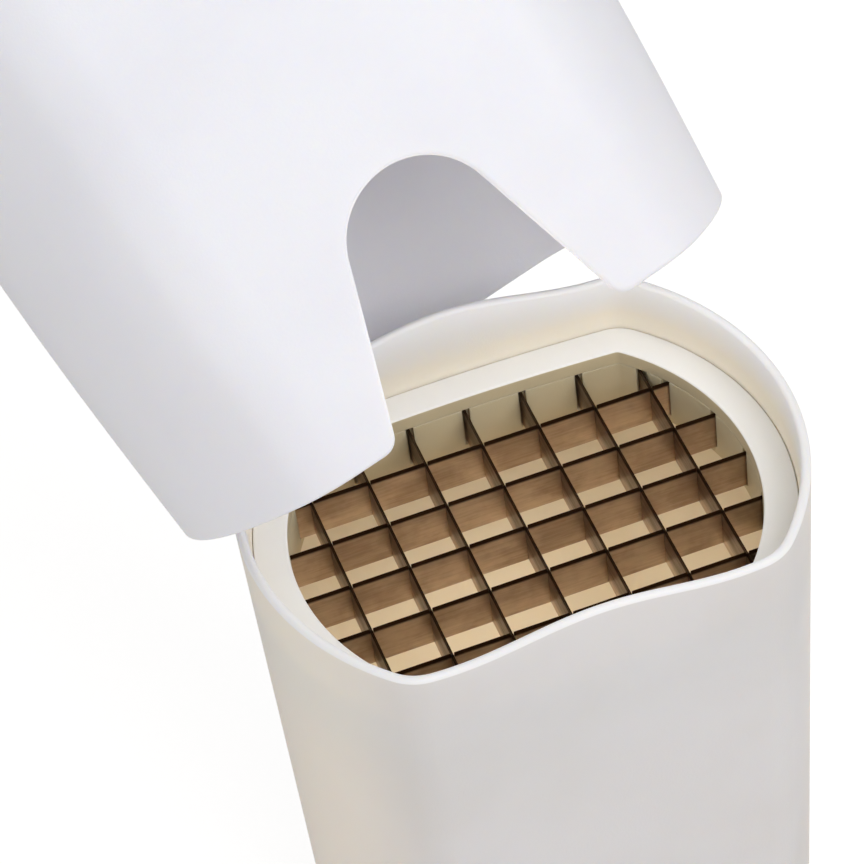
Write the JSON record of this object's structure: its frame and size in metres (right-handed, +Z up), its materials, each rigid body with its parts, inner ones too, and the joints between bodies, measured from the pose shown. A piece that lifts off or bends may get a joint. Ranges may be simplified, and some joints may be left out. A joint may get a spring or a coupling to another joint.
{
  "type": "french fry cutter",
  "caption": "Hand-pressed french fry cutter: an oval cup with a removable blade grid on a shelf, and a sleeve cover with an arched front and a pegged pusher inside.",
  "frame": {"origin": "centre of the foot pad's underside", "axes": "+Z up, +X to the right across the rounded ends, the cover's arched front faces -Y"},
  "size_m": [0.1289, 0.1566, 0.239],
  "materials": {
    "cup": "satin",
    "pad": "matt",
    "seat": "satin",
    "ring": "satin",
    "blades": "brushed, ground edges",
    "cover": "satin",
    "pusher": "satin",
    "screws": "bright"
  },
  "bodies": {
    "base": {"base_cup": "cup", "foot_pad": "pad"},
    "grid": {"blade_seat": "seat", "ledge_ring": "ring", "blade_front_back_1": "blades", "blade_front_back_2": "blades", "blade_front_back_3": "blades", "blade_front_back_4": "blades", "blade_front_back_5": "blades", "blade_front_back_6": "blades", "blade_front_back_7": "blades", "blade_left_right_1": "blades", "blade_left_right_2": "blades", "blade_left_right_3": "blades", "blade_left_right_4": "blades", "blade_left_right_5": "blades"},
    "cover": {"cover_shell": "cover", "pusher_block": "pusher", "pusher_screws": "screws"}
  },
  "joints": [
    {"name": "grid_lift", "type": "slide", "parent": "base", "child": "grid", "axis": [0, 0, 1], "range_m": [0, 0.03]},
    {"name": "cover_tilt", "type": "hinge", "parent": "base", "child": "cover", "pos_m": [0, 0.0253, 0.0959], "axis": [0.9284, 0.3379, -0.1547], "range_deg": [0, 43]}
  ]
}
